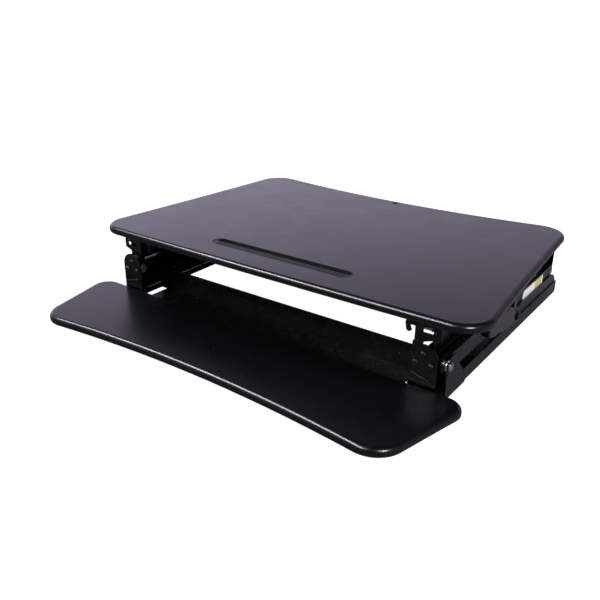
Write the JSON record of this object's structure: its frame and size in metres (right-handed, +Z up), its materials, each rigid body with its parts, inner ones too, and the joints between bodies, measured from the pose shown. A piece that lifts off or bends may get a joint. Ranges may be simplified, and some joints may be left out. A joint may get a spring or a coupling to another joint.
{
  "type": "standing desk converter",
  "caption": "Black desktop riser with a curved desktop, a front keyboard tray and an X-shaped lift on each side that raises both boards from sitting to standing height.",
  "frame": {"origin": "on the surface the converter stands on, below the middle of the desktop's bounding rectangle, with the lift fully lowered", "axes": "+X to the user's right, +Y away from the user, +Z up"},
  "size_m": [0.877, 0.781, 0.15],
  "materials": {
    "board": "satin",
    "powder_coat": "satin",
    "black_plastic": "matte",
    "nylon": "matte",
    "rubber": "matte",
    "bright_steel": "polished",
    "dark_steel": "blackened",
    "spring_body": "gloss",
    "label": "printed film"
  },
  "bodies": {
    "base": {"side_plate_left": "powder_coat", "side_plate_right": "powder_coat", "base_rail_left": "powder_coat", "base_rail_right": "powder_coat", "gas_cylinder_left": "spring_body", "gas_cylinder_right": "spring_body", "front_cross_plate": "powder_coat", "rear_cross_tube": "powder_coat", "foot_pads": "rubber", "lower_pivot_bolts": "bright_steel", "lower_pivot_nuts": "bright_steel", "spring_anchors": "powder_coat"},
    "outer_arms": {"outer_arm_left": "powder_coat", "outer_arm_right": "powder_coat", "crossing_tube": "powder_coat", "crossing_bolts": "bright_steel", "upper_axles": "bright_steel", "caution_label": "label"},
    "inner_arms": {"inner_arm_left": "powder_coat", "inner_arm_right": "powder_coat", "inner_arm_tube": "powder_coat", "crossing_bushes": "nylon", "lower_axles": "bright_steel"},
    "top": {"desktop": "board", "slot_liner": "black_plastic", "desktop_screws": "dark_steel", "cross_bar_front": "powder_coat", "cross_bar_rear": "powder_coat", "upper_pivot_bolts": "bright_steel", "handle_pins": "dark_steel", "keyboard_tray": "board", "tray_screws": "dark_steel", "tray_bolts": "dark_steel", "top_rail_left": "powder_coat", "top_rail_right": "powder_coat", "lock_block_left": "powder_coat", "lock_block_right": "powder_coat", "handle_bracket_left": "powder_coat", "handle_bracket_right": "powder_coat", "tray_upright_left": "powder_coat", "tray_upright_right": "powder_coat", "tray_hanger_left": "powder_coat", "tray_hanger_right": "powder_coat"},
    "upper_wheel_left": {"upper_roller_left": "nylon"},
    "lower_wheel_left": {"lower_roller_left": "nylon"},
    "bar_left": {"lock_bar_left": "dark_steel"},
    "spring_left": {"spring_rod_left": "bright_steel"},
    "grip_left": {"handle_left": "black_plastic"},
    "release_left": {"release_rod_left": "powder_coat"},
    "pin_left": {"lock_pin_left": "bright_steel"},
    "latch_left": {"tray_latch_left": "dark_steel"},
    "upper_wheel_right": {"upper_roller_right": "nylon"},
    "lower_wheel_right": {"lower_roller_right": "nylon"},
    "bar_right": {"lock_bar_right": "dark_steel"},
    "spring_right": {"spring_rod_right": "bright_steel"},
    "grip_right": {"handle_right": "black_plastic"},
    "release_right": {"release_rod_right": "powder_coat"},
    "pin_right": {"lock_pin_right": "bright_steel"},
    "latch_right": {"tray_latch_right": "dark_steel"}
  },
  "joints": [
    {"name": "lift", "type": "hinge", "parent": "base", "child": "outer_arms", "pos_m": [0, -0.268, 0.06], "axis": [1, 0, 0], "range_deg": [0, 43.1]},
    {"name": "scissor", "type": "hinge", "parent": "outer_arms", "child": "inner_arms", "pos_m": [0, -0.012, 0.06], "axis": [1, 0, 0], "range_deg": [-86.4, 0]},
    {"name": "top_pivot", "type": "hinge", "parent": "inner_arms", "child": "top", "pos_m": [0, -0.268, 0.06], "axis": [1, 0, 0], "range_deg": [0, 43.2]},
    {"name": "upper_wheel_spin_left", "type": "hinge", "parent": "outer_arms", "child": "upper_wheel_left", "pos_m": [-0.3648, 0.244, 0.06], "axis": [1, 0, 0], "continuous": true},
    {"name": "lower_wheel_spin_left", "type": "hinge", "parent": "inner_arms", "child": "lower_wheel_left", "pos_m": [-0.338, 0.244, 0.06], "axis": [1, 0, 0], "continuous": true},
    {"name": "bar_hinge_left", "type": "hinge", "parent": "outer_arms", "child": "bar_left", "pos_m": [-0.36, 0.244, 0.06], "axis": [1, 0, 0], "range_deg": [-43.2, 0]},
    {"name": "spring_hinge_left", "type": "hinge", "parent": "inner_arms", "child": "spring_left", "pos_m": [-0.3235, 0.244, 0.06], "axis": [1, 0, 0], "range_deg": [0, 43.2]},
    {"name": "handle_squeeze_left", "type": "hinge", "parent": "top", "child": "grip_left", "pos_m": [-0.398, -0.012, 0.06], "axis": [-1, 0, 0], "range_deg": [0, 10], "stiffness_Nm_per_rad": 6, "springref_deg": -4.58},
    {"name": "release_slide_left", "type": "slide", "parent": "top", "child": "release_left", "axis": [0, 1, 0], "range_m": [0, 0.0093]},
    {"name": "lock_slide_left", "type": "slide", "parent": "top", "child": "pin_left", "axis": [0, 0, 1], "range_m": [0, 0.0093]},
    {"name": "latch_slide_left", "type": "slide", "parent": "top", "child": "latch_left", "axis": [1, 0, 0], "range_m": [0, 0.008], "stiffness_N_per_m": 300, "springref_m": -0.003},
    {"name": "upper_wheel_spin_right", "type": "hinge", "parent": "outer_arms", "child": "upper_wheel_right", "pos_m": [0.3648, 0.244, 0.06], "axis": [1, 0, 0], "continuous": true},
    {"name": "lower_wheel_spin_right", "type": "hinge", "parent": "inner_arms", "child": "lower_wheel_right", "pos_m": [0.338, 0.244, 0.06], "axis": [1, 0, 0], "continuous": true},
    {"name": "bar_hinge_right", "type": "hinge", "parent": "outer_arms", "child": "bar_right", "pos_m": [0.36, 0.244, 0.06], "axis": [1, 0, 0], "range_deg": [-43.2, 0]},
    {"name": "spring_hinge_right", "type": "hinge", "parent": "inner_arms", "child": "spring_right", "pos_m": [0.3235, 0.244, 0.06], "axis": [1, 0, 0], "range_deg": [0, 43.2]},
    {"name": "handle_squeeze_right", "type": "hinge", "parent": "top", "child": "grip_right", "pos_m": [0.398, -0.012, 0.06], "axis": [-1, 0, 0], "range_deg": [0, 10], "stiffness_Nm_per_rad": 6, "springref_deg": -4.58},
    {"name": "release_slide_right", "type": "slide", "parent": "top", "child": "release_right", "axis": [0, 1, 0], "range_m": [0, 0.0093]},
    {"name": "lock_slide_right", "type": "slide", "parent": "top", "child": "pin_right", "axis": [0, 0, 1], "range_m": [0, 0.0093]},
    {"name": "latch_slide_right", "type": "slide", "parent": "top", "child": "latch_right", "axis": [-1, 0, 0], "range_m": [0, 0.008], "stiffness_N_per_m": 300, "springref_m": -0.003}
  ],
  "couplings": [
    {"joint": "scissor", "follows": "lift", "ratio": -2},
    {"joint": "top_pivot", "follows": "lift", "ratio": 1},
    {"joint": "bar_hinge_left", "follows": "lift", "ratio": -1},
    {"joint": "spring_hinge_left", "follows": "lift", "ratio": 1},
    {"joint": "release_slide_left", "follows": "handle_squeeze_left", "m_per_rad": 0.0527},
    {"joint": "lock_slide_left", "follows": "handle_squeeze_left", "m_per_rad": 0.0527},
    {"joint": "bar_hinge_right", "follows": "lift", "ratio": -1},
    {"joint": "spring_hinge_right", "follows": "lift", "ratio": 1},
    {"joint": "release_slide_right", "follows": "handle_squeeze_right", "m_per_rad": 0.0527},
    {"joint": "lock_slide_right", "follows": "handle_squeeze_right", "m_per_rad": 0.0527}
  ]
}
